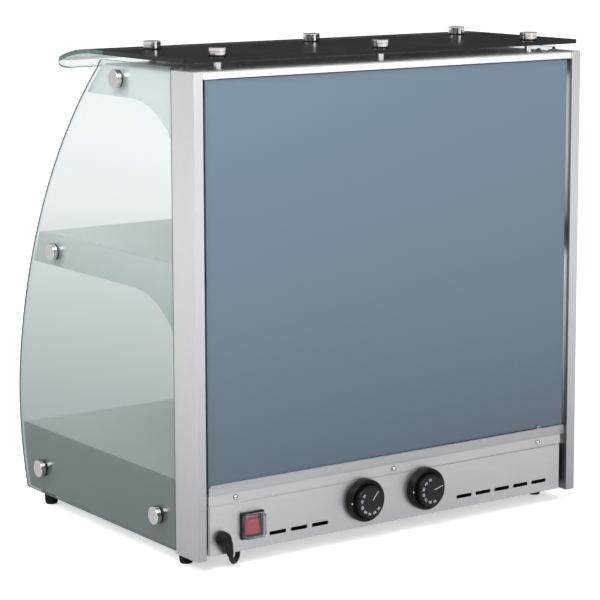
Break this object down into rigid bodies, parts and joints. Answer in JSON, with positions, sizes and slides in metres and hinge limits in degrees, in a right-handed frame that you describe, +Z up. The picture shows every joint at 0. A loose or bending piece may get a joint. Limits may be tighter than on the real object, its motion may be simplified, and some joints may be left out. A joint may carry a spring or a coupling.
{
  "type": "hot food display case",
  "caption": "Two-tier countertop hot food display with curved side glass, hinged rear glass door, heated shelves and dial controls.",
  "frame": {"origin": "on the counter, under the middle of the case's box", "axes": "+Z up; +Y towards the staff side with the door, switch and dials; -Y towards the customer's open front; +X to the left of someone who faces the staff side"},
  "size_m": [0.6774, 0.628, 0.6933],
  "materials": {
    "stainless": "brushed stainless sheet",
    "aluminium": "satin anodised",
    "polished_steel": "turned and polished",
    "clear_glass": "clear float glass, polished edges",
    "black_glass": "black-backed toughened glass, clear at its visor",
    "tinted_glass": "blue-grey reflective glass",
    "black_plastic": "moulded",
    "red_plastic": "translucent polycarbonate",
    "clear_vinyl": "clear flexible cover",
    "rubber": "moulded",
    "heating_mat": "silicone sheet",
    "mineral_wool": "fibre board",
    "quartz": "quartz tube"
  },
  "bodies": {
    "case": {"rear_post_left": "aluminium", "side_frame_left": "stainless", "side_glass_left": "clear_glass", "pane_cap_left_1": "polished_steel", "pane_cap_left_2": "polished_steel", "pane_cap_left_3": "polished_steel", "pane_cap_left_4": "polished_steel", "dial_bezel_left": "black_plastic", "thermostat_left": "black_plastic", "foot_rear_left": "rubber", "foot_front_left": "rubber", "rear_post_right": "aluminium", "side_frame_right": "stainless", "side_glass_right": "clear_glass", "pane_cap_right_1": "polished_steel", "pane_cap_right_2": "polished_steel", "pane_cap_right_3": "polished_steel", "pane_cap_right_4": "polished_steel", "dial_bezel_right": "black_plastic", "thermostat_right": "black_plastic", "foot_rear_right": "rubber", "foot_front_right": "rubber", "top_standoff_11": "polished_steel", "top_standoff_12": "polished_steel", "top_standoff_13": "polished_steel", "top_standoff_21": "polished_steel", "top_standoff_22": "polished_steel", "top_standoff_23": "polished_steel", "top_glass": "black_glass", "roof_box": "stainless", "roof_lining": "stainless", "shelf_tray": "stainless", "shelf_underside": "stainless", "base_deck": "stainless", "base_pan": "stainless", "control_panel": "stainless", "sill_strip": "stainless", "lamp_reflector": "polished_steel", "heat_lamp": "quartz", "shelf_heating_mat": "heating_mat", "base_heating_mat": "heating_mat", "base_insulation": "mineral_wool", "sill_screw_1": "polished_steel", "sill_screw_2": "polished_steel", "sill_screw_3": "polished_steel", "switch_housing": "black_plastic", "switch_splash_cover": "clear_vinyl", "cord_gland": "rubber", "mains_lead": "rubber", "mains_lead_coil": "rubber", "mains_plug": "black_plastic"},
    "door": {"door_glass": "tinted_glass", "door_rail": "aluminium", "door_top_pivot": "aluminium"},
    "dial_left": {"thermostat_dial_left": "black_plastic"},
    "dial_right": {"thermostat_dial_right": "black_plastic"},
    "rocker": {"switch_rocker": "red_plastic"}
  },
  "joints": [
    {"name": "door_hinge", "type": "hinge", "parent": "case", "child": "door", "pos_m": [0.303, 0.22925, 0.103], "axis": [0, 0, -1], "range_deg": [0, 100]},
    {"name": "dial_left_turn", "type": "hinge", "parent": "case", "child": "dial_left", "pos_m": [0.0535, 0.2385, 0.06], "axis": [0, 1, 0], "range_deg": [-141, 70]},
    {"name": "dial_right_turn", "type": "hinge", "parent": "case", "child": "dial_right", "pos_m": [-0.0535, 0.2385, 0.06], "axis": [0, 1, 0], "range_deg": [-106, 105]},
    {"name": "rocker_tilt", "type": "hinge", "parent": "case", "child": "rocker", "pos_m": [0.2393, 0.2305, 0.0545], "axis": [1, 0, 0], "range_deg": [-20, 0]}
  ]
}
